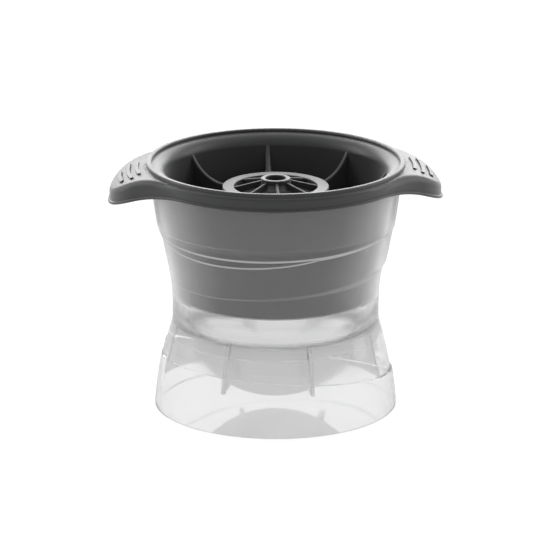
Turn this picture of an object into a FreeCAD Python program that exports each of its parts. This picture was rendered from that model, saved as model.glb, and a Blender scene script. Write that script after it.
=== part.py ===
"""Ice ball mould in two pieces: a soft lid with two drooping grips, and a clear base with a ball-shaped bowl.

The lid is one moulding: grips, flange and lip outside, an open funnel inside with eight ribs, a ring,
eight spokes and the filling hole, and the upper half of the ball under it.
The base is one moulding: a tapered cup whose foot spreads into a skirt, with the lower half of the ball
hanging inside and eight fins between the bowl and the skirt.
Millimetres, +Z up, the grips along X, and the origin on the table under the middle of the foot.
"""

import FreeCAD, Part
import math
import os
import Sketcher

DIMENSIONS = {
    # The ball, and the bowl that hangs in the base
    "ball_radius": 31.75,
    "bowl_lift": 3.8,
    "bowl_floor": 2.65,
    "bowl_wall": 1.3,
    "gate_radius": 1.5,
    "vault_share": 0.55,
    "seat_rise": 1.6,
    "seat_width": 2.4,
    # Foot, skirt and waist of the base
    "foot_radius": 41.75,
    "foot_round": 0.35,
    "skirt_wall": 1.5,
    "skirt_curve": 139.5,
    "waist_drop": 3.8,
    "waist_length": 3.7,
    "waist_spread": 0.48,
    "waist_flare_drop": 3.4,
    # Cup of the base
    "cup_wall": 1.3,
    "cup_flare": 74.0,
    "cup_curve": 245.0,
    "bore_curve": 500.0,
    "knee_rise": 12.2,
    "mouth_radius": 41.7,
    "mouth_wall": 1.5,
    "cup_depth": 43.7,
    "rim_round": 0.35,
    # Slanting steps round the base: height on the axis, tilt, heading of the high side, depth, shift along X
    "notch_height": 48.7,
    "notch_tilt": 2.4,
    "notch_heading": 9.6,
    "notch_step": 0.5,
    "notch_shift": 0.4,
    "sweep_height": 67.2,
    "sweep_tilt": 11.4,
    "sweep_heading": 59.1,
    "sweep_step": 0.3,
    "sweep_shift": 0.2,
    "band_height": 64.35,
    "band_tilt": 2.6,
    "band_heading": 70.0,
    "band_step": 0.26,
    "band_shift": 0.2,
    "collar_height": 64.5,
    "collar_tilt": 1.2,
    "collar_heading": 253.1,
    "collar_step": 0.14,
    "collar_shift": 0.1,
    "skirt_height": 17.9,
    "skirt_tilt": 18.6,
    "skirt_heading": 241.0,
    "skirt_step": 0.4,
    "hem_height": 16.1,
    "hem_tilt": 5.1,
    "hem_heading": 226.0,
    "hem_step": 0.3,
    "cup_ledge_slope": 60.0,
    "skirt_ledge_slope": 45.0,
    "ledge_root": 6.0,
    # Fins between the bowl and the skirt
    "fin_count": 8,
    "fin_turn": 14.2,
    "fin_thick": 1.3,
    "fin_crown": 17.2,
    "fin_run": 12.75,
    "fin_curve": 16.0,
    # Lid against the base
    "clearance": 0.3,
    "lid_wall_foot": 1.9,
    "lid_wall_top": 3.6,
    "lid_corner": 1.3,
    "flange_drop": 3.1,
    "flange_wall": 1.8,
    "flange_round": 1.0,
    "roof_thick": 1.3,
    # Lip round the funnel
    "shelf_width": 1.1,
    "lip_width": 1.8,
    "lip_height": 1.27,
    "lip_round": 0.55,
    "shoulder_step": 0.1,
    "shoulder_curve": 4.2,
    # Trough between the funnel wall and the ball's dome
    "dome_wall": 2.4,
    "trough_rise": 12.2,
    "trough_share": 0.55,
    "funnel_bulge": 222.0,
    # Ribs, ring, hub and spokes
    "rib_count": 8,
    "rib_thick": 1.4,
    "rib_level": 3.55,
    "rib_rise": 8.33,
    "rib_sweep": 14.1,
    "rib_root": 0.3,
    "rib_round": 0.5,
    "ring_rise": 7.4,
    "ring_radius": 18.24,
    "ring_width": 3.96,
    "ring_round": 0.4,
    "basin_rim_drop": 2.5,
    "basin_rise": 1.8,
    "basin_fillet": 2.3,
    "basin_climb": 1.84,
    "hub_rise": 2.8,
    "hub_radius": 5.12,
    "hub_wall": 1.67,
    "hub_round": 0.4,
    "spoke_count": 8,
    "spoke_thick": 0.9,
    "spoke_drop": 0.65,
    "spoke_round": 0.3,
    # Grips
    "grip_reach": 56.8,
    "grip_tip_radius": 19.0,
    "grip_start": 40.0,
    "grip_round": 2.6,
    "droop_run": 15.8,
    "droop_drop": 7.74,
    "under_run": 24.8,
    "under_drop": 7.65,
    "bead_reach": 0.55,
    "bead_height": 1.0,
    "bead_round": 0.45,
    # Raised arcs on the grips
    "ridge_height": 0.5,
    "ridge_width": 1.1,
    "ridge_cap_share": 0.52,
    "ridge_first": 47.5,
    "ridge_pitch": 2.85,
    "ridge_half_inner": 7.4,
    "ridge_half_middle": 9.0,
    "ridge_half_outer": 6.0,
    # How far cuts run past the material
    "overrun": 2.0,
}

doc = FreeCAD.newDocument("ice_ball_mould")

sheet = doc.addObject("Spreadsheet::Sheet", "dims")
for row, (alias, value) in enumerate(DIMENSIONS.items(), start=1):
    sheet.set(f"A{row}", alias.replace("_", " "))
    sheet.set(f"B{row}", str(value))
    sheet.setAlias(f"B{row}", alias)
doc.recompute()


def number(expression):
    """What an expression comes to with the sheet as it stands."""
    return float(sheet.evalExpression(expression))


# Heights that both mouldings share, measured up from the table
BALL_HEIGHT = "(dims.bowl_lift + dims.bowl_floor + dims.ball_radius)"
SEAT = f"({BALL_HEIGHT} + dims.seat_rise)"
WAIST_TOP = f"({SEAT} - dims.waist_drop)"
WAIST_FOOT = f"({WAIST_TOP} - dims.waist_length)"
KNEE = f"({SEAT} + dims.knee_rise)"
RIM = f"({SEAT} + dims.cup_depth)"
ROOF = f"({RIM} + dims.clearance)"
SHELF = f"({ROOF} + dims.roof_thick)"
FLANGE_FOOT = f"({RIM} - dims.flange_drop)"

# Radii that both mouldings share
WAIST = "(dims.ball_radius + dims.seat_width + dims.cup_wall)"
FLARE_CENTRE = f"({WAIST} + dims.cup_flare)"
FLANGE_BORE = "(dims.mouth_radius + dims.mouth_wall + dims.clearance)"
FLANGE = f"({FLANGE_BORE} + dims.flange_wall)"
LIP_FOOT = f"({FLANGE} - dims.shelf_width)"

# Lengths that reach past all there is to cut
OVERRUN = "dims.overrun"
CUT_WIDTH = f"(4 * {FLANGE})"


def flare(curve, height):
    """Radius, at one height, of a wall that bends outwards from the waist about the flare's centre."""
    return f"({FLARE_CENTRE} - sqrt({curve}^2 - ({height} - {WAIST_TOP})^2))"


def origin_plane(body, role):
    """One of a body's own origin planes or axes."""
    return next(item for item in body.Origin.OriginFeatures if item.Role == role)


def arc_between(start, end, bend):
    """The shorter arc from start to end. A positive bend has its centre on the left of the way."""
    (x0, y0), (x1, y1) = start, end
    chord = math.hypot(x1 - x0, y1 - y0)
    height = math.sqrt(max(bend * bend - chord * chord / 4, 0.0))
    side = math.copysign(height, bend)
    cx = (x0 + x1) / 2 - side * (y1 - y0) / chord
    cy = (y0 + y1) / 2 + side * (x1 - x0) / chord
    circle = Part.Circle(FreeCAD.Vector(cx, cy, 0), FreeCAD.Vector(0, 0, 1), abs(bend))
    from_start = math.atan2(y0 - cy, x0 - cx)
    from_end = math.atan2(y1 - cy, x1 - cx)
    if bend > 0:
        return Part.ArcOfCircle(circle, from_start, from_end), 1, 2
    return Part.ArcOfCircle(circle, from_end, from_start), 2, 1


def pin(sketch, edge, point, direction, expression):
    """Hold one end of an edge at a distance from the sketch's axes."""
    value = number(expression)
    if abs(value) < 1e-9:
        axis = -2 if direction == "DistanceX" else -1
        sketch.addConstraint(Sketcher.Constraint("PointOnObject", edge, point, axis))
        return
    ends = (-1, 1, edge, point) if value > 0 else (edge, point, -1, 1)
    index = sketch.addConstraint(Sketcher.Constraint(direction, *ends, abs(value)))
    sign = "" if value > 0 else "-"
    sketch.setExpression(f"Constraints[{index}]", f"{sign}({expression})")


def draw(sketch, outline):
    """Draw one closed outline in a sketch and bind it to the sheet.

    Each corner is (across, up), or (across, up, bend): the bend is the radius of the arc that leaves the
    corner, counted positive where its centre lies on the left of the way round.
    """
    corners = [(number(corner[0]), number(corner[1])) for corner in outline]
    first = sketch.GeometryCount
    ends = []
    for place, corner in enumerate(outline):
        start = corners[place]
        end = corners[(place + 1) % len(corners)]
        if len(corner) == 3:
            edge, tail, head = arc_between(start, end, number(corner[2]))
        else:
            edge = Part.LineSegment(FreeCAD.Vector(*start, 0), FreeCAD.Vector(*end, 0))
            tail, head = 1, 2
        sketch.addGeometry(edge, False)
        ends.append((tail, head))
    for place, corner in enumerate(outline):
        follower = (place + 1) % len(outline)
        meet = (first + place, ends[place][1], first + follower, ends[follower][0])
        sketch.addConstraint(Sketcher.Constraint("Coincident", *meet))
        pin(sketch, first + place, ends[place][0], "DistanceX", corner[0])
        pin(sketch, first + place, ends[place][0], "DistanceY", corner[1])
        if len(corner) == 3:
            radius = abs(number(corner[2]))
            index = sketch.addConstraint(Sketcher.Constraint("Radius", first + place, radius))
            sketch.setExpression(f"Constraints[{index}]", f"abs({corner[2]})")


def body_sketch(body, name, outlines, plane="XZ_Plane", lift=None):
    """A sketch on one of the body's own planes, raised along it where a lift is given."""
    sketch = body.newObject("Sketcher::SketchObject", name)
    sketch.AttachmentSupport = [(origin_plane(body, plane), "")]
    sketch.MapMode = "FlatFace"
    if lift is not None:
        sketch.setExpression("AttachmentOffset.Base.z", lift)
    for outline in outlines:
        draw(sketch, outline)
    doc.recompute()
    return sketch


def revolve(body, name, outline):
    """Turn an outline about the body's upright axis."""
    feature = body.newObject("PartDesign::Revolution", name)
    feature.Profile = body_sketch(body, f"{name}_outline", [outline])
    feature.ReferenceAxis = (origin_plane(body, "Z_Axis"), [""])
    feature.Angle = 360
    body.Tip = feature
    doc.recompute()
    return feature


def turn_out(body, name, outline):
    """Turn an outline about the body's upright axis and cut it away."""
    feature = body.newObject("PartDesign::Groove", name)
    feature.Profile = body_sketch(body, f"{name}_outline", [outline])
    feature.ReferenceAxis = (origin_plane(body, "Z_Axis"), [""])
    feature.Angle = 360
    body.Tip = feature
    doc.recompute()
    return feature


def plate(body, name, outline, thickness):
    """A flat plate that stands in the XZ plane, half its thickness on each side."""
    feature = body.newObject("PartDesign::Pad", name)
    feature.Profile = body_sketch(body, f"{name}_outline", [outline])
    feature.SideType = "Symmetric"
    feature.setExpression("Length", thickness)
    body.Tip = feature
    doc.recompute()
    return feature


def around(body, name, count):
    """Repeat a body evenly about the upright axis."""
    pattern = body.newObject("PartDesign::PolarPattern", name)
    pattern.TransformMode = "Whole shape"
    pattern.Axis = (origin_plane(body, "Z_Axis"), [""])
    pattern.Angle = 360
    pattern.setExpression("Occurrences", count)
    body.Tip = pattern
    doc.recompute()
    return pattern


def raise_slab(body, name, outlines, foot, top):
    """Raise plan outlines from one height to another."""
    feature = body.newObject("PartDesign::Pad", name)
    feature.Profile = body_sketch(body, f"{name}_plan", outlines, "XY_Plane", foot)
    feature.setExpression("Length", f"{top} - ({foot})")
    body.Tip = feature
    doc.recompute()
    return feature


def trim(body, name, outline):
    """Cut away all that lies inside an outline of the XZ plane, right through from front to back."""
    feature = body.newObject("PartDesign::Pocket", name)
    feature.Profile = body_sketch(body, f"{name}_outline", [outline])
    feature.SideType = "Symmetric"
    feature.Type = "Length"
    feature.setExpression("Length", CUT_WIDTH)
    body.Tip = feature
    doc.recompute()
    return feature


def soften(body, name, radius, wanted):
    """Round every edge of the body's tip that the test picks."""
    base = body.Tip
    names = [f"Edge{place}" for place, edge in enumerate(base.Shape.Edges, start=1) if wanted(edge)]
    feature = body.newObject("PartDesign::Fillet", name)
    feature.Base = (base, names)
    feature.setExpression("Radius", radius)
    body.Tip = feature
    doc.recompute()
    return feature


# Outer wall of the base: a plain core, and skins set out from it that end at slanting planes

FOOT_CORE = "(dims.foot_radius - dims.skirt_step - dims.hem_step)"
WAIST_BEND = "((dims.waist_flare_drop^2 + dims.waist_spread^2) / (2 * dims.waist_spread))"
WAIST_EDGE = f"({WAIST_FOOT} - dims.waist_flare_drop)"
NOTCH_OUT = "dims.notch_step"
SWEEP_OUT = f"({NOTCH_OUT} + dims.sweep_step)"
BAND_OUT = f"({SWEEP_OUT} + dims.band_step)"
COLLAR_OUT = f"({BAND_OUT} + dims.collar_step)"
HEM_OUT = "(dims.skirt_step + dims.hem_step)"
RIM_CORE = f"(dims.mouth_radius + dims.mouth_wall - dims.collar_shift - {COLLAR_OUT})"
RIM_EDGE = f"({RIM} - dims.rim_round)"


def skirt_side(out):
    """The skirt from the foot's edge up to the waist, set out by a thickness."""
    return [
        (f"{FOOT_CORE} + {out}", "dims.foot_round", "dims.skirt_curve"),
        (f"{WAIST} + dims.waist_spread + {out}", WAIST_EDGE, f"-{WAIST_BEND}"),
        (f"{WAIST} + {out}", WAIST_FOOT),
    ]


def cup_side(out):
    """The cup from the waist up to the rim, set out by a thickness."""
    return [
        (f"{WAIST} + {out}", WAIST_TOP, "-dims.cup_flare"),
        (f"{flare('dims.cup_flare', KNEE)} + {out}", KNEE, "dims.cup_curve"),
        (f"{RIM_CORE} + {out}", RIM_EDGE),
    ]


def turned(name, outline, shift=None):
    """A body turned about the upright axis, moved along X where a shift is given."""
    body = doc.addObject("PartDesign::Body", name)
    revolve(body, f"{name}_turn", outline)
    if shift is not None:
        body.setExpression("Placement.Base.x", shift)
    return body


def combine(kind, name, pieces):
    """A union or overlap of several pieces, or the first with the second cut from it."""
    result = doc.addObject(f"Part::{kind}", name)
    if kind == "Cut":
        result.Base, result.Tool = pieces
    else:
        result.Shapes = pieces
    doc.recompute()
    return result


def beyond(name, skin, kind, side, girth, slope):
    """The stretch of a skin that lies above or below its slanting plane.

    The cut is a cone round the plane's own axis, so that the step ends in a sloping ledge. It crosses the
    plane at the girth, and starts a little way inside the wall.
    """
    turn = f"(dims.{kind}_tilt)" if side == "above" else f"(180 + dims.{kind}_tilt)"
    heading = f"dims.{kind}_heading"
    dip = f"(dims.ledge_root * tan({slope}))"
    reach = f"({RIM} + {dip})"
    slant = doc.addObject("Part::Cone", f"{name}_side")
    slant.setExpression("Radius1", f"{girth} - dims.ledge_root")
    slant.setExpression("Radius2", f"{girth} - dims.ledge_root + {reach} / tan({slope})")
    slant.setExpression("Height", reach)
    slant.setExpression(
        "Placement",
        f"placement(vector({dip} * cos({heading}) * sin({turn}); {dip} * sin({heading}) * sin({turn});"
        f" dims.{kind}_height - {dip} * cos({turn}));"
        f" rotation(vector(sin({heading}); -cos({heading}); 0); {turn}))",
    )
    return combine("MultiCommon", name, [skin, slant])


core = turned(
    "base_core",
    [("0", "0"), (FOOT_CORE, "0")]
    + skirt_side("0")
    + cup_side("0")
    + [("0", RIM_EDGE)],
)
layers = [core]

CUP_GIRTH = f"(({flare('dims.cup_flare', KNEE)} + {RIM_CORE}) / 2)"
NOTCH_GIRTH = flare("dims.cup_flare", "dims.notch_height")
SKIRT_GIRTH = f"(({FOOT_CORE} + {WAIST}) / 2)"

for kind, out, girth in (
    ("notch", NOTCH_OUT, NOTCH_GIRTH),
    ("sweep", SWEEP_OUT, CUP_GIRTH),
    ("band", BAND_OUT, CUP_GIRTH),
):
    skin = turned(
        f"{kind}_skin",
        [("0", WAIST_TOP)] + cup_side(out) + [("0", RIM_EDGE)],
        f"dims.{kind}_shift",
    )
    ledge = beyond(f"{kind}_layer", skin, kind, "above", f"({girth} + {out})", "dims.cup_ledge_slope")
    layers.append(ledge)

collar_skin = turned(
    "collar_skin",
    [("0", WAIST_TOP)]
    + cup_side(COLLAR_OUT)[:-1]
    + [
        (f"{RIM_CORE} + {COLLAR_OUT}", RIM_EDGE, "dims.rim_round"),
        (f"{RIM_CORE} + {COLLAR_OUT} - dims.rim_round", RIM),
        ("0", RIM),
    ],
    "dims.collar_shift",
)
layers.append(
    beyond("collar_layer", collar_skin, "collar", "above", f"({CUP_GIRTH} + {COLLAR_OUT})", "dims.cup_ledge_slope")
)

skirt_skin = turned(
    "skirt_skin",
    [("0", "dims.foot_round")] + skirt_side("dims.skirt_step") + [("0", WAIST_FOOT)],
)
layers.append(
    beyond("skirt_layer", skirt_skin, "skirt", "below", f"({SKIRT_GIRTH} + dims.skirt_step)", "dims.skirt_ledge_slope")
)

hem_skin = turned(
    "hem_skin",
    [("0", "0"), ("dims.foot_radius - dims.foot_round", "0", "dims.foot_round")]
    + skirt_side(HEM_OUT)
    + [("0", WAIST_FOOT)],
)
layers.append(
    beyond("hem_layer", hem_skin, "hem", "below", f"({SKIRT_GIRTH} + {HEM_OUT})", "dims.skirt_ledge_slope")
)

blank = combine("MultiFuse", "base_blank", layers)

# Inside of the base: the cup with the bowl under it, and the open space under the skirt

BORE_CURVE = "(dims.cup_flare + dims.cup_wall)"
BOWL_RADIUS = "(dims.ball_radius + dims.bowl_wall)"
BOWL_HEIGHT = f"(dims.bowl_lift + {BOWL_RADIUS})"
SKIRT_BORE_TOP = f"({WAIST} + dims.waist_spread - dims.skirt_wall)"
BOWL_AT_EDGE = f"sqrt({BOWL_RADIUS}^2 - ({BOWL_HEIGHT} - {WAIST_EDGE})^2)"
SKIRT_VAULT = f"dims.vault_share * ({SKIRT_BORE_TOP} - {BOWL_AT_EDGE})"
FIN_SHOULDER = "(dims.foot_radius - dims.fin_run)"
FIN_END = "(dims.fin_crown - dims.fin_curve + sqrt(dims.fin_curve^2 - dims.fin_run^2))"


def at_gate(radius):
    """Depth, below a sphere's middle, of the small flat where the plastic flowed in."""
    return f"sqrt({radius}^2 - dims.gate_radius^2)"


cup_space = turned(
    "cup_space",
    [
        ("0", f"{BALL_HEIGHT} - {at_gate('dims.ball_radius')}"),
        ("dims.gate_radius", f"{BALL_HEIGHT} - {at_gate('dims.ball_radius')}", "dims.ball_radius"),
        ("dims.ball_radius", BALL_HEIGHT),
        ("dims.ball_radius", SEAT),
        (flare(BORE_CURVE, SEAT), SEAT, f"-{BORE_CURVE}"),
        (flare(BORE_CURVE, KNEE), KNEE, "dims.bore_curve"),
        ("dims.mouth_radius", RIM),
        ("dims.mouth_radius", f"{RIM} + {OVERRUN}"),
        ("0", f"{RIM} + {OVERRUN}"),
    ],
)

skirt_space = turned(
    "skirt_space",
    [
        ("0", f"-{OVERRUN}"),
        ("dims.foot_radius - dims.skirt_wall", f"-{OVERRUN}"),
        ("dims.foot_radius - dims.skirt_wall", "0", "dims.skirt_curve"),
        (SKIRT_BORE_TOP, WAIST_EDGE, SKIRT_VAULT),
        (BOWL_AT_EDGE, WAIST_EDGE, f"-{BOWL_RADIUS}"),
        ("dims.gate_radius", f"{BOWL_HEIGHT} - {at_gate(BOWL_RADIUS)}"),
        ("0", f"{BOWL_HEIGHT} - {at_gate(BOWL_RADIUS)}"),
    ],
)

fins = doc.addObject("PartDesign::Body", "fin_plates")
plate(
    fins,
    "fin",
    [
        ("0", "dims.fin_crown"),
        (FIN_SHOULDER, "dims.fin_crown", "-dims.fin_curve"),
        ("dims.foot_radius", FIN_END),
        ("dims.foot_radius", WAIST_TOP),
        ("0", WAIST_TOP),
    ],
    "dims.fin_thick",
)
around(fins, "fin_ring", "dims.fin_count")
fins.setExpression("Placement", "placement(vector(0; 0; 0); rotation(vector(0; 0; 1); dims.fin_turn))")

space_between_fins = combine("Cut", "space_between_fins", [skirt_space, fins])
cup_cut = combine("Cut", "cup_cut", [blank, cup_space])
base = combine("Cut", "clear_base", [cup_cut, space_between_fins])

# Grips of the lid: plan outlines raised into slabs, then trimmed to the drooping surfaces

TIP_CENTRE = "(dims.grip_reach - dims.grip_tip_radius)"
TIP_EXCESS = f"({FLANGE} - dims.grip_tip_radius)"
HOLLOW_CENTRE = (
    f"(({TIP_CENTRE}^2 - {TIP_EXCESS}^2)"
    f" / (2 * ({TIP_CENTRE} * cos(dims.grip_start) - {TIP_EXCESS})))"
)
SLAB_FOOT = f"({FLANGE_FOOT} - 2 * dims.under_drop)"
SLAB_TOP = f"({SHELF} + {OVERRUN})"
GRIP_END = f"(dims.grip_reach + dims.bead_reach + {OVERRUN} / 4)"
DROOP_START = "(dims.grip_reach - dims.droop_run)"
DROOP_CURVE = "((dims.droop_run^2 + dims.droop_drop^2) / (2 * dims.droop_drop))"
UNDER_START = "(dims.grip_reach - dims.under_run)"
UNDER_CURVE = "((dims.under_run^2 + dims.under_drop^2) / (2 * dims.under_drop))"


def grip_plan(grow):
    """Plan of the flange with both grips: tip arcs joined to the flange's circle by hollow arcs."""
    tip = f"(dims.grip_tip_radius + {grow})"
    flange = f"({FLANGE} + {grow})"
    hollow = f"-({HOLLOW_CENTRE} - {FLANGE} - {grow})"
    reach = f"({HOLLOW_CENTRE} - {TIP_EXCESS})"
    tip_x = f"({TIP_CENTRE} + {tip} * ({HOLLOW_CENTRE} * cos(dims.grip_start) - {TIP_CENTRE}) / {reach})"
    tip_y = f"({tip} * {HOLLOW_CENTRE} * sin(dims.grip_start) / {reach})"
    flange_x = f"({flange} * cos(dims.grip_start))"
    flange_y = f"({flange} * sin(dims.grip_start))"
    return [
        (tip_x, f"-{tip_y}", tip),
        (tip_x, tip_y, hollow),
        (flange_x, flange_y, flange),
        (f"-{flange_x}", flange_y, hollow),
        (f"-{tip_x}", tip_y, tip),
        (f"-{tip_x}", f"-{tip_y}", hollow),
        (f"-{flange_x}", f"-{flange_y}", flange),
        (flange_x, f"-{flange_y}", hollow),
    ]


def droop_height(level, start, curve, across):
    """Height of a drooping surface at one distance from the middle."""
    return f"({level} - {curve} + sqrt({curve}^2 - ({across} - {start})^2))"


def above(level, start, curve):
    """All that lies above a surface that is flat in the middle and droops to both tips."""
    end = droop_height(level, start, curve, GRIP_END)
    return [
        (f"-{GRIP_END}", end, f"-{curve}"),
        (f"-{start}", level),
        (start, level, f"-{curve}"),
        (GRIP_END, end),
        (GRIP_END, f"{SLAB_TOP} + {OVERRUN}"),
        (f"-{GRIP_END}", f"{SLAB_TOP} + {OVERRUN}"),
    ]


def below(level, start, curve):
    """All that lies below such a surface."""
    end = droop_height(level, start, curve, GRIP_END)
    return [
        (f"-{GRIP_END}", f"{SLAB_FOOT} - {OVERRUN}"),
        (GRIP_END, f"{SLAB_FOOT} - {OVERRUN}"),
        (GRIP_END, end, curve),
        (start, level),
        (f"-{start}", level, curve),
        (f"-{GRIP_END}", end),
    ]


def ridge_plan(radius, half_length, side):
    """Plan of one raised arc: a bar bent about the upright axis, with round ends."""
    half_width = "dims.ridge_width / 2"
    sine = f"({half_length} / ({radius}))"
    cosine = f"sqrt(1 - {sine}^2)"
    outer = f"({radius} + {half_width})"
    inner = f"({radius} - {half_width})"
    cap = "dims.ridge_cap_share * dims.ridge_width"
    return [
        (f"{side} * {outer} * {cosine}", f"{side} * -1 * {outer} * {sine}", outer),
        (f"{side} * {outer} * {cosine}", f"{side} * {outer} * {sine}", cap),
        (f"{side} * {inner} * {cosine}", f"{side} * {inner} * {sine}", f"-{inner}"),
        (f"{side} * {inner} * {cosine}", f"{side} * -1 * {inner} * {sine}", cap),
    ]


def on_outline(grow, level, start, curve):
    """A test for edges that run round the slab's side at the height of a drooping surface."""
    level, start, curve = number(level), number(start), number(curve)
    flange = number(f"{FLANGE} + {grow}")
    wanted_tip = number(f"dims.grip_tip_radius + {grow}")
    tip_centre = number(TIP_CENTRE)
    hollow = number(f"{HOLLOW_CENTRE} - {FLANGE} - {grow}")
    hollow_x = number(f"{HOLLOW_CENTRE} * cos(dims.grip_start)")
    hollow_y = number(f"{HOLLOW_CENTRE} * sin(dims.grip_start)")
    near = 1e-3

    def wanted(edge):
        point = edge.valueAt((edge.FirstParameter + edge.LastParameter) / 2)
        x, y = abs(point.x), abs(point.y)
        drop = max(x - start, 0.0)
        height = level - curve + math.sqrt(curve * curve - drop * drop)
        at_height = abs(point.z - height) < near
        on_flange = abs(math.hypot(x, y) - flange) < near
        on_tip = abs(math.hypot(x - tip_centre, y) - wanted_tip) < near
        on_hollow = abs(math.hypot(x - hollow_x, y - hollow_y) - hollow) < near
        return at_height and (on_flange or on_tip or on_hollow)

    return wanted


lid_shell = doc.addObject("PartDesign::Body", "lid_shell")

BEAD_TOP = (f"({FLANGE_FOOT} + dims.bead_height)", UNDER_START, f"({UNDER_CURVE} + dims.bead_height)")
GRIP_TOP = (SHELF, DROOP_START, DROOP_CURVE)
GRIP_FOOT = (FLANGE_FOOT, UNDER_START, UNDER_CURVE)
RIDGE_TOP = (f"({SHELF} + dims.ridge_height)", DROOP_START, f"({DROOP_CURVE} + dims.ridge_height)")

raise_slab(lid_shell, "bead", [grip_plan("dims.bead_reach")], SLAB_FOOT, SLAB_TOP)
trim(lid_shell, "bead_top", above(*BEAD_TOP))
raise_slab(lid_shell, "grip", [grip_plan("0")], SLAB_FOOT, SLAB_TOP)
trim(lid_shell, "grip_top", above(*GRIP_TOP))
trim(lid_shell, "grip_foot", below(*GRIP_FOOT))
soften(lid_shell, "grip_edge", "dims.grip_round", on_outline("0", *GRIP_TOP))
soften(lid_shell, "bead_upper_edge", "dims.bead_round", on_outline("dims.bead_reach", *BEAD_TOP))
soften(lid_shell, "bead_lower_edge", "dims.bead_round", on_outline("dims.bead_reach", *GRIP_FOOT))

RIDGE_END = "(dims.ridge_first + 2 * dims.ridge_pitch + dims.ridge_width)"
RIDGE_FOOT = f"({droop_height(*GRIP_TOP, RIDGE_END)} - {OVERRUN} / 4)"
RIDGE_HALVES = ("dims.ridge_half_inner", "dims.ridge_half_middle", "dims.ridge_half_outer")
ridges = [
    ridge_plan(f"(dims.ridge_first + {place} * dims.ridge_pitch)", half, side)
    for side in (1, -1)
    for place, half in enumerate(RIDGE_HALVES)
]
raise_slab(lid_shell, "ridges", ridges, RIDGE_FOOT, SLAB_TOP)
trim(lid_shell, "ridge_top", above(*RIDGE_TOP))

GRIP_BORE = f"({FLANGE} - dims.flange_wall / 2)"
turn_out(
    lid_shell,
    "grip_bore",
    [
        ("0", f"{SLAB_FOOT} - {OVERRUN}"),
        (GRIP_BORE, f"{SLAB_FOOT} - {OVERRUN}"),
        (GRIP_BORE, f"{SLAB_TOP} + {OVERRUN}"),
        ("0", f"{SLAB_TOP} + {OVERRUN}"),
    ],
)

# Turned section of the lid, from the filling hole down the ball's dome, up the outside and back down the funnel

LID_CURVE = f"({BORE_CURVE} + dims.clearance)"
LID_EDGE = f"({SEAT} + dims.lid_corner)"
DOME = "(dims.ball_radius + dims.dome_wall)"
TROUGH = f"({SEAT} + dims.trough_rise)"
TROUGH_OUTER = f"({flare(LID_CURVE, TROUGH)} - dims.lid_wall_foot)"
TROUGH_INNER = f"sqrt({DOME}^2 - ({TROUGH} - {BALL_HEIGHT})^2)"
FUNNEL = "(dims.mouth_radius - dims.clearance - dims.lid_wall_top)"
SHOULDER = f"({SHELF} + dims.shoulder_step)"
LIP_TOP = f"({SHELF} + dims.lip_height)"
LIP_BORE = f"({LIP_FOOT} - dims.lip_width)"
RING_TOP = f"({BALL_HEIGHT} + dims.ball_radius + dims.ring_rise)"
RING_BORE = "(dims.ring_radius - dims.ring_width)"
BASIN_EDGE = f"({RING_TOP} - dims.basin_rim_drop)"
BASIN_TOP = f"({BASIN_EDGE} + dims.basin_rise)"
HUB_TOP = f"({RING_TOP} + dims.hub_rise)"
HOLE = "(dims.hub_radius - dims.hub_wall)"

revolve(
    lid_shell,
    "section",
    [
        (HOLE, f"{BALL_HEIGHT} + sqrt(dims.ball_radius^2 - {HOLE}^2)", "-dims.ball_radius"),
        ("sqrt(dims.ball_radius^2 - dims.seat_rise^2)", SEAT),
        (f"{flare(LID_CURVE, LID_EDGE)} - dims.lid_corner", SEAT, "dims.lid_corner"),
        (flare(LID_CURVE, LID_EDGE), LID_EDGE, f"-{LID_CURVE}"),
        (flare(LID_CURVE, KNEE), KNEE, "dims.bore_curve"),
        ("dims.mouth_radius - dims.clearance", RIM),
        ("dims.mouth_radius - dims.clearance", ROOF),
        (FLANGE_BORE, ROOF),
        (FLANGE_BORE, FLANGE_FOOT),
        (FLANGE, FLANGE_FOOT),
        (FLANGE, f"{SHELF} - dims.flange_round", "dims.flange_round"),
        (f"{FLANGE} - dims.flange_round", SHELF),
        (LIP_FOOT, SHELF),
        (LIP_FOOT, f"{LIP_TOP} - dims.lip_round", "dims.lip_round"),
        (f"{LIP_FOOT} - dims.lip_round", LIP_TOP),
        (f"{LIP_BORE} + dims.lip_round", LIP_TOP, "dims.lip_round"),
        (LIP_BORE, f"{LIP_TOP} - dims.lip_round"),
        (LIP_BORE, SHOULDER),
        (f"{FUNNEL} + dims.shoulder_curve", SHOULDER, "dims.shoulder_curve"),
        (FUNNEL, f"{SHOULDER} - dims.shoulder_curve", "-dims.funnel_bulge"),
        (TROUGH_OUTER, TROUGH, f"-dims.trough_share * ({TROUGH_OUTER} - {TROUGH_INNER})"),
        (TROUGH_INNER, TROUGH, DOME),
        ("dims.ring_radius", f"{BALL_HEIGHT} + sqrt({DOME}^2 - dims.ring_radius^2)"),
        ("dims.ring_radius", f"{RING_TOP} - dims.ring_round", "dims.ring_round"),
        ("dims.ring_radius - dims.ring_round", RING_TOP),
        (f"{RING_BORE} + dims.ring_round", RING_TOP, "dims.ring_round"),
        (RING_BORE, f"{RING_TOP} - dims.ring_round"),
        (RING_BORE, BASIN_EDGE),
        ("dims.hub_radius + dims.basin_fillet", BASIN_TOP, "-dims.basin_fillet"),
        ("dims.hub_radius", f"{BASIN_TOP} + dims.basin_climb"),
        ("dims.hub_radius", f"{HUB_TOP} - dims.hub_round", "dims.hub_round"),
        ("dims.hub_radius - dims.hub_round", HUB_TOP),
        (f"{HOLE} + dims.hub_round", HUB_TOP, "dims.hub_round"),
        (HOLE, f"{HUB_TOP} - dims.hub_round"),
    ],
)

# Ribs from the ring to the funnel wall, and spokes from the hub to the ring

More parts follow.
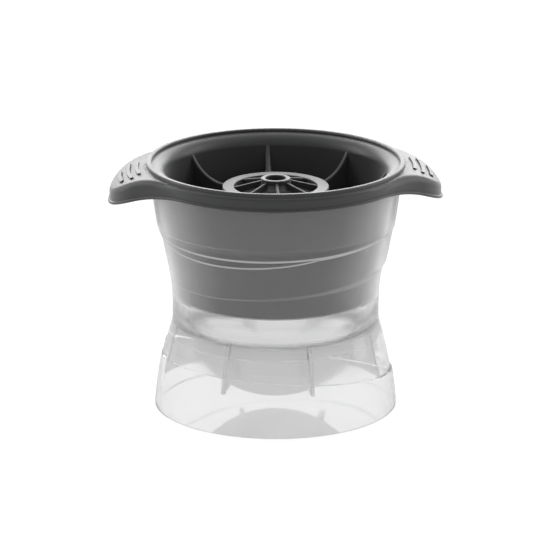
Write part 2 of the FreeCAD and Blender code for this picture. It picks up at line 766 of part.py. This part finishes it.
RIB_LEVEL = f"({RING_TOP} - dims.rib_level)"
RIB_CURVE = "((dims.rib_sweep^2 + dims.rib_rise^2) / (2 * dims.rib_rise))"
RIB_FOOT = f"({TROUGH} - dims.dome_wall)"
RING_MIDDLE = "(dims.ring_radius - dims.ring_width / 2)"
DOME_MIDDLE = "(dims.ball_radius + dims.dome_wall / 2)"


def long_edge_at_or_above(level):
    """A test for the long edges of an upright plate that lie at a height or above it."""
    floor = number(level) - 1e-3

    def wanted(edge):
        ends = [vertex.Point for vertex in edge.Vertexes]
        along = abs(ends[0].y - ends[1].y) < 1e-6
        return along and min(point.z for point in ends) > floor

    return wanted



ribs = doc.addObject("PartDesign::Body", "rib_plates")
plate(
    ribs,
    "rib",
    [
        (RING_MIDDLE, f"{BALL_HEIGHT} + sqrt({DOME_MIDDLE}^2 - {RING_MIDDLE}^2)", f"-{DOME_MIDDLE}"),
        (f"sqrt({DOME_MIDDLE}^2 - ({RIB_FOOT} - {BALL_HEIGHT})^2)", RIB_FOOT),
        (f"{flare(LID_CURVE, RIB_FOOT)} - dims.lid_wall_foot / 2", RIB_FOOT, "dims.funnel_bulge"),
        (f"{FUNNEL} + dims.rib_root", f"{RIB_LEVEL} + dims.rib_rise", f"-{RIB_CURVE}"),
        (f"{FUNNEL} + dims.rib_root - dims.rib_sweep", RIB_LEVEL),
        (RING_MIDDLE, RIB_LEVEL),
    ],
    "dims.rib_thick",
)
soften(ribs, "rib_edge", "dims.rib_round", long_edge_at_or_above(RIB_LEVEL))
around(ribs, "rib_ring", "dims.rib_count")

HUB_MIDDLE = "(dims.hub_radius - dims.hub_wall / 2)"
SPOKE_END = f"({RING_BORE} + dims.ring_width / 4)"
SPOKE_OUTER_TOP = f"({RING_TOP} - dims.ring_round)"

spokes = doc.addObject("PartDesign::Body", "spoke_plates")
plate(
    spokes,
    "spoke",
    [
        (HUB_MIDDLE, f"{BASIN_EDGE} - dims.basin_rise / 2"),
        (SPOKE_END, f"{BASIN_EDGE} - dims.basin_rise / 2"),
        (SPOKE_END, SPOKE_OUTER_TOP),
        (HUB_MIDDLE, f"{HUB_TOP} - dims.spoke_drop"),
    ],
    "dims.spoke_thick",
)
soften(spokes, "spoke_edge", "dims.spoke_round", long_edge_at_or_above(SPOKE_OUTER_TOP))
around(spokes, "spoke_ring", "dims.spoke_count")

lid = combine("MultiFuse", "silicone_lid", [lid_shell, ribs, spokes])

# Each finished moulding goes to its own file, once every step is known to be sound

doc.recompute()
for item in doc.Objects:
    if "Invalid" in item.State or "Error" in item.State:
        raise RuntimeError(f"{item.Label} did not compute: {item.State}")

os.makedirs("parts", exist_ok=True)
for piece in (lid, base):
    shape = piece.Shape
    if shape.isNull() or not shape.isValid() or len(shape.Solids) != 1:
        raise RuntimeError(f"{piece.Label} is not one sound solid")
    shape.exportStep(f"parts/{piece.Label}.step")
    box = shape.optimalBoundingBox()
    print(
        f"{piece.Label}: {shape.Volume / 1000:.2f} cm3,"
        f" {box.XLength:.2f} x {box.YLength:.2f} x {box.ZLength:.2f} mm, {len(shape.Faces)} faces"
    )
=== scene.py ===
# %% [markdown]
# # A two-piece ice ball mould, photographed on a white table
#
# The real thing is two mouldings. A charcoal silicone lid carries the grips, the funnel and the upper half
# of the ball. A clear, faintly frosted base carries the bowl and stands on a bell-shaped skirt.
# Their shapes come from the frame that this script loads, so the lesson here is about light and surface:
# how a dark matt rubber and a clear plastic can both read well against pure white.

# %% Load the mould as a fixed frame
import math

import bpy
from mathutils import Euler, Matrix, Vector


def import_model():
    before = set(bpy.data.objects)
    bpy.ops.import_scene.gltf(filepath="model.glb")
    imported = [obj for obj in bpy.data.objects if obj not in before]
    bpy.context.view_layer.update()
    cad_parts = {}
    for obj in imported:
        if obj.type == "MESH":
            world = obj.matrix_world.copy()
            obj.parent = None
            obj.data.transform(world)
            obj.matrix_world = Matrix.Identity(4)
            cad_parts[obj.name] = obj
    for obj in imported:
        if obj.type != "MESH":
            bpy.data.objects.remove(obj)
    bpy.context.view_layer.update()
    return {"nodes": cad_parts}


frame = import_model()
lid = frame["nodes"]["silicone_lid"]
base = frame["nodes"]["clear_base"]

# %% [markdown]
# ## The camera
#
# The photograph was taken from well back with a long lens, looking down by less than seventeen degrees.
# Such a lens keeps the rim a calm ellipse. We place the camera on a sphere round the mould, from a heading,
# a rise and a distance, and work the lens out from the focal length that was measured in pixels.

# %% Camera
FRAME_PIXELS = 533
FOCAL_PIXELS = 4069.8
SENSOR_MM = 36.0
CAMERA_HEADING = math.radians(-94.3)
CAMERA_RISE = math.radians(16.73)
CAMERA_DISTANCE = 1.400
MIDDLE_HEIGHT = 0.043
FRAME_SLIDE = -0.003147
FRAME_LIFT = 0.005267

middle = Vector((0.0, 0.0, MIDDLE_HEIGHT))
towards_camera = Vector(
    (
        math.cos(CAMERA_HEADING) * math.cos(CAMERA_RISE),
        math.sin(CAMERA_HEADING) * math.cos(CAMERA_RISE),
        math.sin(CAMERA_RISE),
    )
)
camera_right = Vector((-math.sin(CAMERA_HEADING), math.cos(CAMERA_HEADING), 0.0))
camera_up = towards_camera.cross(camera_right)

camera_data = bpy.data.cameras.new("camera")
camera_data.sensor_width = SENSOR_MM
camera_data.lens = FOCAL_PIXELS * SENSOR_MM / FRAME_PIXELS
camera = bpy.data.objects.new("camera", camera_data)
bpy.context.scene.collection.objects.link(camera)
camera.location = middle + towards_camera * CAMERA_DISTANCE
aim = middle + camera_right * FRAME_SLIDE + camera_up * FRAME_LIFT
camera.rotation_euler = (aim - camera.location).to_track_quat("-Z", "Y").to_euler()
bpy.context.scene.camera = camera
print("lens, mm:", round(camera_data.lens, 1))

# %% [markdown]
# ## A small vocabulary for node materials
#
# Every finish below is a chain of nodes. A few helpers keep the chains readable: one starts an empty
# material, one adds a node with its settings and joins its inputs in the same line, and the others are the
# steps that come up most, such as a change of range, a sum, soft clouds and a mix of two shaders.

# %% Node helpers
NOISE_LOW = 0.3
NOISE_HIGH = 0.7


def new_material(name):
    """An empty node material and its tree."""
    material = bpy.data.materials.new(name)
    material.use_nodes = True
    material.node_tree.nodes.clear()
    return material, material.node_tree


def add(tree, kind, settings=None, **inputs):
    """Add a node. Inputs go by name, or by number as in _1, and are numbers, colours or other outputs."""
    node = tree.nodes.new(kind)
    for key, value in (settings or {}).items():
        setattr(node, key, value)
    for key, value in inputs.items():
        number = key[1:]
        socket = node.inputs[int(number)] if number.isdigit() else node.inputs[key.replace("_", " ")]
        if isinstance(value, bpy.types.NodeSocket):
            tree.links.new(value, socket)
        else:
            socket.default_value = value
    return node


def between(tree, value, low, high, first, last):
    """Carry a value from one range to another, held at both ends."""
    node = add(tree, "ShaderNodeMapRange", Value=value)
    for socket, level in zip(("From Min", "From Max", "To Min", "To Max"), (low, high, first, last)):
        node.inputs[socket].default_value = level
    return node.outputs["Result"]


def maths(tree, operation, *values):
    """One step of arithmetic between outputs and numbers."""
    inputs = {f"_{index}": value for index, value in enumerate(values)}
    return add(tree, "ShaderNodeMath", {"operation": operation}, **inputs).outputs["Value"]


def vector_maths(tree, operation, *values, result="Vector"):
    """One step of arithmetic between vectors."""
    inputs = {f"_{index}": value for index, value in enumerate(values)}
    return add(tree, "ShaderNodeVectorMath", {"operation": operation}, **inputs).outputs[result]


def mixed(tree, share, first, second):
    """Two shaders in one: none of the second at a share of 0, and nothing else at 1."""
    return add(tree, "ShaderNodeMixShader", Fac=share, _1=first, _2=second).outputs["Shader"]


def cloudiness(tree, place, scale, detail, low, high):
    """Soft clouds over a surface, as a value that wanders between two levels."""
    noise = add(tree, "ShaderNodeTexNoise", Vector=place, Scale=scale, Detail=detail).outputs["Fac"]
    return between(tree, noise, NOISE_LOW, NOISE_HIGH, low, high)


def grey(level):
    """A neutral colour."""
    return (level, level, level, 1.0)


# %% [markdown]
# ## Charcoal silicone
#
# Silicone from a polished tool is still matt: it picks up a veil of light at glancing angles, and it never
# looks black. A dark base colour with a little cloudiness, a mid roughness that wanders and a touch of sheen
# give that. The sheen and the gloss level are plain numbers on the shader, because they are the same all
# over the moulding.

# %% Silicone
CHARCOAL_DARK = (0.022, 0.023, 0.025, 1.0)
CHARCOAL_LIGHT = (0.028, 0.029, 0.031, 1.0)
SATIN = (0.36, 0.44)
CLOUD_SCALE = 55.0
CLOUD_DETAIL = 3.0
RUBBER_IOR = 1.5
RUBBER_GLOSS = 0.8
SHEEN = 0.5
SHEEN_SPREAD = 0.4


def silicone():
    """Matt charcoal rubber."""
    material, tree = new_material("charcoal_silicone")
    place = add(tree, "ShaderNodeTexCoord").outputs["Object"]
    tone = cloudiness(tree, place, CLOUD_SCALE, CLOUD_DETAIL, 0.0, 1.0)
    # In a colour mix, inputs 6 and 7 are the two colours and output 2 is the mixed one
    mix = {"data_type": "RGBA"}
    colour = add(tree, "ShaderNodeMix", mix, Factor=tone, _6=CHARCOAL_DARK, _7=CHARCOAL_LIGHT).outputs[2]
    surface = add(
        tree,
        "ShaderNodeBsdfPrincipled",
        Base_Color=colour,
        Roughness=cloudiness(tree, place, CLOUD_SCALE, CLOUD_DETAIL, *SATIN),
        IOR=RUBBER_IOR,
        Specular_IOR_Level=RUBBER_GLOSS,
        Sheen_Weight=SHEEN,
        Sheen_Roughness=SHEEN_SPREAD,
    )
    add(tree, "ShaderNodeOutputMaterial", Surface=surface.outputs["BSDF"])
    return material


# %% [markdown]
# ## Clear plastic with a breath of frost
#
# The base is moulded clear, but not like window glass: a thin haze lies over what is behind it. Its shader
# has a clear share and a hazy share. The clear share bends light as the real plastic does, so the slanting
# steps, fins and rims draw their own lines. The hazy share is milk: a pale surface that scatters light back
# or lets it through.
#
# How much haze there is depends on the place. The real moulding is hazier where it is thick and where its
# tool was blasted. Along the sharp ledges on the cup, thin white lines of haze are painted highlight, where
# the ledges would catch light. So before the shader we need masks, which are values of 1 in a place and 0
# elsewhere, worked out from each point's own coordinates in metres.

# %% Masks
EDGE_BLUR = 0.0002


def below(tree, value, level, blur=EDGE_BLUR):
    """1 where a value is under a level, 0 where it is over it, and a short blur between."""
    return between(tree, value, level - blur, level + blur, 1.0, 0.0)


def above(tree, value, level, blur=EDGE_BLUR):
    """0 where a value is under a level, 1 where it is over it, and a short blur between."""
    return between(tree, value, level - blur, level + blur, 0.0, 1.0)


def both(tree, first, second):
    """The place where two masks meet."""
    return maths(tree, "MULTIPLY", first, second)


def any_of(tree, first, *others):
    """The highest of several values."""
    for other in others:
        first = maths(tree, "MAXIMUM", first, other)
    return first


def height_of(tree, place):
    """How far a point lies above the table."""
    return add(tree, "ShaderNodeSeparateXYZ", Vector=place).outputs["Z"]


def sideways(tree, place):
    """The part of a place that points away from the mould's axis."""
    return vector_maths(tree, "MULTIPLY", place, (1.0, 1.0, 0.0))


def off_axis(tree, place):
    """How far a point lies from the mould's axis."""
    return vector_maths(tree, "LENGTH", sideways(tree, place), result="Value")


# %% [markdown]
# ## The slanting ledges
#
# The moulding's skin steps in thickness along slanting ledges. Two of them bound the frosted belt of the
# skirt.
# Along the two on the cup, thin white lines are painted highlight, where those ledges would catch light.
# Each ledge is part of a cone round an axis that leans a little, so the mask measures how far a point lies
# above that cone.
# The sizes are the ones the solid has.

# %% Ledges
UPPER_LEDGE = {"height": 0.0179, "tilt": 18.6, "heading": 241.0, "girth": 0.03865, "slope": 45.0}
LOWER_LEDGE = {"height": 0.0161, "tilt": 5.1, "heading": 226.0, "girth": 0.03895, "slope": 45.0}
BAND_LEDGE = {"height": 0.06435, "tilt": 2.6, "heading": 70.0, "girth": 0.04061, "slope": -60.0}
SWEEP_LEDGE = {"height": 0.0672, "tilt": 11.4, "heading": 59.1, "girth": 0.04035, "slope": -60.0}
LINE_REACH = 0.00009
LINE_BLUR = 0.00003
CUP_TAPER = 0.187
CUP_SKIN = 0.0272
ledges = (UPPER_LEDGE, LOWER_LEDGE, BAND_LEDGE, SWEEP_LEDGE)
print("ledge tilts, degrees:", [ledge["tilt"] for ledge in ledges])


def above_ledge(tree, place, height, tilt, heading, girth, slope):
    """How far a point lies above a slanting ledge. The ledge is part of a cone round a leaning axis."""
    lean = Vector((0.0, 0.0, 1.0))
    lean.rotate(Euler((0.0, -math.radians(tilt), math.radians(heading))))
    from_middle = vector_maths(tree, "SUBTRACT", place, (0.0, 0.0, height))
    rise = vector_maths(tree, "DOT_PRODUCT", from_middle, lean, result="Value")
    across = vector_maths(tree, "CROSS_PRODUCT", from_middle, lean)
    radius = vector_maths(tree, "LENGTH", across, result="Value")
    outside = maths(tree, "SUBTRACT", radius, girth)
    fall = maths(tree, "MULTIPLY", outside, math.tan(math.radians(slope)))
    return maths(tree, "ADD", rise, fall)


def frosted_belt(tree, place):
    """The belt of the skirt between its two slanting ledges."""
    under_upper = below(tree, above_ledge(tree, place, **UPPER_LEDGE), 0.0)
    over_lower = above(tree, above_ledge(tree, place, **LOWER_LEDGE), 0.0)
    return both(tree, under_upper, over_lower)


def thin_line(tree, off):
    """A thin line where a distance passes through nothing."""
    return below(tree, maths(tree, "ABSOLUTE", off), LINE_REACH, LINE_BLUR)


# Painted highlight: thin white lines along the cup's ledges, where they would catch light.
def painted_highlight_lines(tree, place):
    """Painted highlight lines along the two slanting ledges outside on the cup. The lower one ends where it
    meets the upper one.
    """
    off_band = above_ledge(tree, place, **BAND_LEDGE)
    off_sweep = above_ledge(tree, place, **SWEEP_LEDGE)
    band = thin_line(tree, off_band)
    sweep = both(tree, thin_line(tree, off_sweep), below(tree, off_band, 0.0))
    taper = maths(tree, "MULTIPLY", height_of(tree, place), CUP_TAPER)
    girth = maths(tree, "SUBTRACT", off_axis(tree, place), taper)
    return both(tree, any_of(tree, band, sweep), above(tree, girth, CUP_SKIN))


# %% [markdown]
# ## Waist, vault and bowl
#
# Where the cup meets the bowl and the skirt, the plastic is a solid ring. Its underside is a rounded vault,
# and the bowl hangs below it. The thick ring blurs what is behind it, and vault and bowl look milky from
# outside. Plain heights and distances find all three.

# %% Waist, vault and bowl
WAIST_LOW = 0.0300
WAIST_HIGH = 0.0398
WAIST_BLUR = 0.003
VAULT_LOW = 0.0250
VAULT_BLUR = 0.0015
VAULT_GIRTH = 0.0355
BALL_HEIGHT = 0.0382
BALL_SKIN = 0.0324
BOWL_SKIN = 0.0346


def in_waist(tree, place):
    """The waist, where bowl and wall meet in a solid ring."""
    height = height_of(tree, place)
    return both(tree, above(tree, height, WAIST_LOW, WAIST_BLUR), below(tree, height, WAIST_HIGH))


def in_vault(tree, place):
    """The vault under the waist, inside the skirt."""
    height = height_of(tree, place)
    over = above(tree, height, VAULT_LOW, VAULT_BLUR)
    under = below(tree, height, WAIST_LOW, VAULT_BLUR)
    return both(tree, both(tree, over, under), below(tree, off_axis(tree, place), VAULT_GIRTH))


def on_bowl(tree, place):
    """The outside of the bowl, under the waist."""
    from_ball = vector_maths(tree, "SUBTRACT", place, (0.0, 0.0, BALL_HEIGHT))
    radius = vector_maths(tree, "LENGTH", from_ball, result="Value")
    skin = both(tree, above(tree, radius, BALL_SKIN), below(tree, radius, BOWL_SKIN))
    return both(tree, skin, below(tree, height_of(tree, place), WAIST_LOW, VAULT_BLUR))


# %% [markdown]
# ## The fins
#
# Eight fins stand between bowl and skirt. Their flat sides look milky, and so do the strips where they join
# the skirt's wall. A side faces along the round of the mould, which the surface's own direction tells. A
# joined strip has no surface of its own, so it is found from its angle round the axis.

# %% Fins
FIN_COUNT = 8
FIN_TURN = math.radians(14.2)
FIN_HALF_ANGLE = 0.0165
FIN_ANGLE_BLUR = FIN_HALF_ANGLE / 4.0
FIN_FOOT = 0.0140
FIN_FACING = (0.6, 0.8)


def fin_sides(tree, place):
    """Surfaces that face along the round of the mould, which are the fins' sides."""
    outwards = vector_maths(tree, "NORMALIZE", sideways(tree, place))
    along = vector_maths(tree, "CROSS_PRODUCT", outwards, (0.0, 0.0, 1.0))
    facing = add(tree, "ShaderNodeTexCoord").outputs["Normal"]
    turned = vector_maths(tree, "DOT_PRODUCT", facing, along, result="Value")
    return between(tree, maths(tree, "ABSOLUTE", turned), *FIN_FACING, 0.0, 1.0)


def fin_roots(tree, place):
    """The strips of the skirt's wall where a fin is joined to it."""
    split = add(tree, "ShaderNodeSeparateXYZ", Vector=place).outputs
    turn = maths(tree, "ARCTAN2", split["Y"], split["X"])
    half_step = math.pi / FIN_COUNT
    nearest = maths(tree, "WRAP", turn, FIN_TURN + half_step, FIN_TURN - half_step)
    aside = maths(tree, "ABSOLUTE", maths(tree, "SUBTRACT", nearest, FIN_TURN))
    at_fin = below(tree, aside, FIN_HALF_ANGLE, FIN_ANGLE_BLUR)
    tall = both(tree, above(tree, split["Z"], FIN_FOOT), below(tree, split["Z"], WAIST_LOW))
    return both(tree, at_fin, tall)


# %% [markdown]
# ## The plastic itself
#
# Now the masks meet the shader. Each place gets its own share of haze, and the highest share wins; on the
# cup's ledges that share is painted highlight, thin white lines where the ledges would catch light. On the
# cup the haze grows towards the sides, because there the eye looks along the wall through more of it.
#
# Milk can send light back or let it through. A free wall lets most of it through, and glows with the white
# behind it. Where something dark stands close behind, as the lid does in the cup, only the light that comes
# back counts. Lamps shine through the plastic nearly unhindered, so that the lid inside is lit.
#
# The belt stays smooth enough for the fins behind it to keep their edges.

# %% Plastic
PLASTIC_IOR = 1.49
PLASTIC_TINT = (0.988, 0.989, 0.991, 1.0)
POLISHED = (0.05, 0.10)
BELT_ROUGH = 0.15
WAIST_ROUGH = 0.12
MIST_SCALE = 38.0
MIST_DETAIL = 2.0
MILK_WHITE = 0.99
MILK_THROUGH = 0.90
BACKED_MILK_THROUGH = 0.15
LAMP_THROUGH = 0.86
CLEAR_HAZE = 0.05
CUP_HAZE = 0.035
SIDE_HAZE = 0.68
SIDE_HAZE_FROM = 0.18
BELT_HAZE = 0.10
WAIST_HAZE = 0.04
BOWL_HAZE = 0.85
VAULT_HAZE = 0.90
# The share of white haze that paints highlight lines along the cup's ledges.
PAINTED_HIGHLIGHT_SHARE = 0.60
FIN_HAZE = 0.80


def clear_share(tree, place, belt, waist):
    """The clear plastic, a little rougher in the belt and in the waist."""
    polished = cloudiness(tree, place, MIST_SCALE, MIST_DETAIL, *POLISHED)
    belt_rough = maths(tree, "MULTIPLY", belt, BELT_ROUGH)
    waist_rough = maths(tree, "MULTIPLY", waist, WAIST_ROUGH)
    clear = add(
        tree,
        "ShaderNodeBsdfPrincipled",
        Base_Color=PLASTIC_TINT,
        Roughness=maths(tree, "ADD", polished, any_of(tree, belt_rough, waist_rough)),
        Transmission_Weight=1.0,
        IOR=PLASTIC_IOR,
    )
    return clear.outputs["BSDF"]


def milk(tree, backed):
    """The haze. Most light goes through it, but not where something dark stands close behind."""
    back = add(tree, "ShaderNodeBsdfDiffuse", Color=grey(MILK_WHITE)).outputs["BSDF"]
    through = add(tree, "ShaderNodeBsdfTranslucent", Color=grey(MILK_WHITE)).outputs["BSDF"]
    share = between(tree, backed, 0.0, 1.0, MILK_THROUGH, BACKED_MILK_THROUGH)
    return mixed(tree, share, back, through)


def clear_plastic():
    """Clear moulded plastic with a faint milky haze, more of it where it is thick or frosted, and thin lines
    of painted highlight along the cup's ledges.
    """
    material, tree = new_material("frosted_clear_plastic")
    place = add(tree, "ShaderNodeTexCoord").outputs["Object"]
    on_cup = above(tree, height_of(tree, place), WAIST_HIGH)
    glancing = add(tree, "ShaderNodeLayerWeight", Blend=0.5).outputs["Facing"]
    cup_sides = both(tree, between(tree, glancing, SIDE_HAZE_FROM, 1.0, 0.0, 1.0), on_cup)
    from_inside = add(tree, "ShaderNodeNewGeometry").outputs["Backfacing"]
    from_outside = maths(tree, "SUBTRACT", 1.0, from_inside)
    belt = frosted_belt(tree, place)
    waist = in_waist(tree, place)
    vault = in_vault(tree, place)
    bowl = both(tree, on_bowl(tree, place), from_outside)
    haze_and_highlight_places = (
        (belt, BELT_HAZE),
        (bowl, BOWL_HAZE),
        (waist, WAIST_HAZE),
        (vault, VAULT_HAZE),
        (fin_sides(tree, place), FIN_HAZE),
        (fin_roots(tree, place), FIN_HAZE),
        (cup_sides, SIDE_HAZE),
        # The ledge lines are painted highlight: white haze where the ledges would catch light.
        (painted_highlight_lines(tree, place), PAINTED_HIGHLIGHT_SHARE),
    )
    plain = between(tree, on_cup, 0.0, 1.0, CLEAR_HAZE, CUP_HAZE)
    share = any_of(tree, plain, *[maths(tree, "MULTIPLY", mask, haze) for mask, haze in haze_and_highlight_places])
    backed = any_of(tree, on_cup, bowl, both(tree, vault, from_outside))
    body = mixed(tree, share, clear_share(tree, place, belt, waist), milk(tree, backed))
    passing = add(tree, "ShaderNodeBsdfTransparent", Color=grey(LAMP_THROUGH)).outputs["BSDF"]
    lamp_ray = add(tree, "ShaderNodeLightPath").outputs["Is Shadow Ray"]
    add(tree, "ShaderNodeOutputMaterial", Surface=mixed(tree, lamp_ray, body, passing))
    return material


# %% [markdown]
# ## Dressing the two mouldings
#
# Each moulding is of one piece and one material, so each gets one finish all over. Their meshes stay as the
# frame gives them.

# %% Dress


def dress(moulding, material):
    """Give a moulding its finish."""
    moulding.data.materials.clear()
    moulding.data.materials.append(material)
    print(moulding.name, "wears", material.name, "with", len(material.node_tree.nodes), "nodes")


dress(lid, silicone())
dress(base, clear_plastic())

# %% [markdown]
# ## The table and the backdrop
#
# White product pictures are shot on a glossy white sheet, and the sheet round the object is then cleaned to
# pure white. What stays is what is seen through the plastic: there the sheet still mirrors the bowl and the
# fins. So the sheet has two faces. To the open eye it is matt white with a contact shadow. To a ray that has
# come through the plastic it is glossy, apart from light that the haze has scattered, which finds it partly
# plain white. The glow that makes it white lights nothing else.

# %% Table
TABLE_HALF = 3.0
OPEN_GLOW = 0.86
OPEN_WHITE = 0.22
SHEET_WHITE = 0.8
GLOSS_GLOW = 0.06
GLOSS_SHARE = 0.87
GLOSS_ROUGH = 0.03
PLAIN_SHARE = 0.45
SOME_PASS = 0.5


def through_plastic(tree):
    """1 for a ray that has already come through the plastic, and 0 for any other."""
    passes = add(tree, "ShaderNodeLightPath").outputs["Transmission Depth"]
    return maths(tree, "GREATER_THAN", passes, SOME_PASS)


def glowing(tree, surface, strength):
    """A surface that also gives off light of its own."""
    glow = add(tree, "ShaderNodeEmission", Strength=strength)
    return add(tree, "ShaderNodeAddShader", _0=surface, _1=glow.outputs["Emission"]).outputs["Shader"]


def open_sheet(tree):
    """The sheet as the open eye and the lamps find it: matt white, with the mould's shadow."""
    eye = add(tree, "ShaderNodeLightPath").outputs["Is Camera Ray"]
    matt = add(tree, "ShaderNodeBsdfDiffuse", Color=between(tree, eye, 0.0, 1.0, SHEET_WHITE, OPEN_WHITE))
    return glowing(tree, matt.outputs["BSDF"], maths(tree, "MULTIPLY", eye, OPEN_GLOW))


def glossy_sheet(tree):
    """The sheet seen through the plastic: a soft mirror, and partly plain white to scattered light."""
    mirror = add(tree, "ShaderNodeBsdfGlossy", Color=grey(GLOSS_SHARE), Roughness=GLOSS_ROUGH)
    glossy = glowing(tree, mirror.outputs["BSDF"], GLOSS_GLOW)
    plain = add(tree, "ShaderNodeEmission", Strength=1.0).outputs["Emission"]
    scattered = add(tree, "ShaderNodeLightPath").outputs["Is Diffuse Ray"]
    return mixed(tree, maths(tree, "MULTIPLY", scattered, PLAIN_SHARE), glossy, plain)


def table():
    """A white sheet under the mould."""
    material, tree = new_material("white_table")
    sheet = mixed(tree, through_plastic(tree), open_sheet(tree), glossy_sheet(tree))
    add(tree, "ShaderNodeOutputMaterial", Surface=sheet)
    mesh = bpy.data.meshes.new("table")
    corners = [(x * TABLE_HALF, y * TABLE_HALF, 0.0) for x, y in ((-1, -1), (1, -1), (1, 1), (-1, 1))]
    mesh.from_pydata(corners, [], [(0, 1, 2, 3)])
    mesh.materials.append(material)
    top = bpy.data.objects.new("table", mesh)
    bpy.context.scene.collection.objects.link(top)
    print("table, metres across:", 2.0 * TABLE_HALF)


table()

# %% [markdown]
# ## Light
#
# A dark matt lid looks light on top and dark in front because the studio does: a bright panel stands low
# behind the mould, soft boxes stand at its sides, and the room on the camera's side is dim. The world gives
# the even part of that, brighter behind than in front, and three soft boxes give the rest. To the eye, and
# to rays that have come through the plastic, the world is plain white.

# %% World
ROOM_BEHIND = 0.9
ROOM_FRONT = 0.42
ROOM_BLEND = 0.6


def world():
    """A white surround: full white to the eye, and dimmer on the camera's side as a light."""
    scene_world = bpy.data.worlds.new("studio")
    bpy.context.scene.world = scene_world
    scene_world.use_nodes = True
    tree = scene_world.node_tree
    tree.nodes.clear()
    direction = add(tree, "ShaderNodeTexCoord").outputs["Generated"]
    away = (-math.cos(CAMERA_HEADING), -math.sin(CAMERA_HEADING), 0.0)
    facing = vector_maths(tree, "DOT_PRODUCT", direction, away, result="Value")
    shade = between(tree, facing, -ROOM_BLEND, ROOM_BLEND, ROOM_FRONT, ROOM_BEHIND)
    room = add(tree, "ShaderNodeBackground", Color=grey(1.0), Strength=shade).outputs["Background"]
    white = add(tree, "ShaderNodeBackground", Color=grey(1.0)).outputs["Background"]
    eye = add(tree, "ShaderNodeLightPath").outputs["Is Camera Ray"]
    seen_white = any_of(tree, eye, through_plastic(tree))
    add(tree, "ShaderNodeOutputWorld", Surface=mixed(tree, seen_white, room, white))
    print("room behind and in front:", ROOM_BEHIND, ROOM_FRONT)


world()

# %% [markdown]
# ## Soft boxes
#
# The panel behind is wide and low, so that its light skims over the rim and the grips. The two boxes at the
# sides are tall and weak, and only draw the edges. They would show as hard shapes through the plastic, so
# they give no light to rays that have come through it.

# %% Soft boxes
BACK_PANEL = {"heading": 0, "rise": 20, "distance": 1.1, "width": 1.4, "height": 0.6, "power": 8.5}
SIDE_BOX = {"rise": 22, "distance": 1.0, "width": 0.35, "height": 0.9, "power": 1.5}
SIDE_HEADING = 80


def round_mould(heading, rise, distance):
    """A place round the mould. Heading 0 is away from the camera and 90 is to its right."""
    turn = CAMERA_HEADING + math.pi + math.radians(-heading)
    lift = math.radians(rise)
    flat = math.cos(lift) * distance
    return Vector((math.cos(turn) * flat, math.sin(turn) * flat, MIDDLE_HEIGHT + math.sin(lift) * distance))


def soft_box(name, heading, rise, distance, width, height, power):
    """A rectangular lamp that faces the mould and stays out of the picture."""
    light = bpy.data.lights.new(name, "AREA")
    light.shape = "RECTANGLE"
    light.size = width
    light.size_y = height
    light.energy = power
    light.use_nodes = True
    tree = light.node_tree
    tree.nodes.clear()
    strength = between(tree, through_plastic(tree), 0.0, 1.0, 1.0, 0.0)
    glow = add(tree, "ShaderNodeEmission", Strength=strength)
    add(tree, "ShaderNodeOutputLight", Surface=glow.outputs["Emission"])
    lamp = bpy.data.objects.new(name, light)
    bpy.context.scene.collection.objects.link(lamp)
    lamp.location = round_mould(heading, rise, distance)
    lamp.rotation_euler = (middle - lamp.location).to_track_quat("-Z", "Y").to_euler()
    lamp.visible_camera = False
    print(name, "watts:", power)


soft_box("back_panel", **BACK_PANEL)
soft_box("left_box", heading=-SIDE_HEADING, **SIDE_BOX)
soft_box("right_box", heading=SIDE_HEADING, **SIDE_BOX)

# %% [markdown]
# ## Finish
#
# The view transform is Standard, so a colour leaves the renderer as it was written.

# %% View transform
bpy.context.scene.view_settings.view_transform = "Standard"
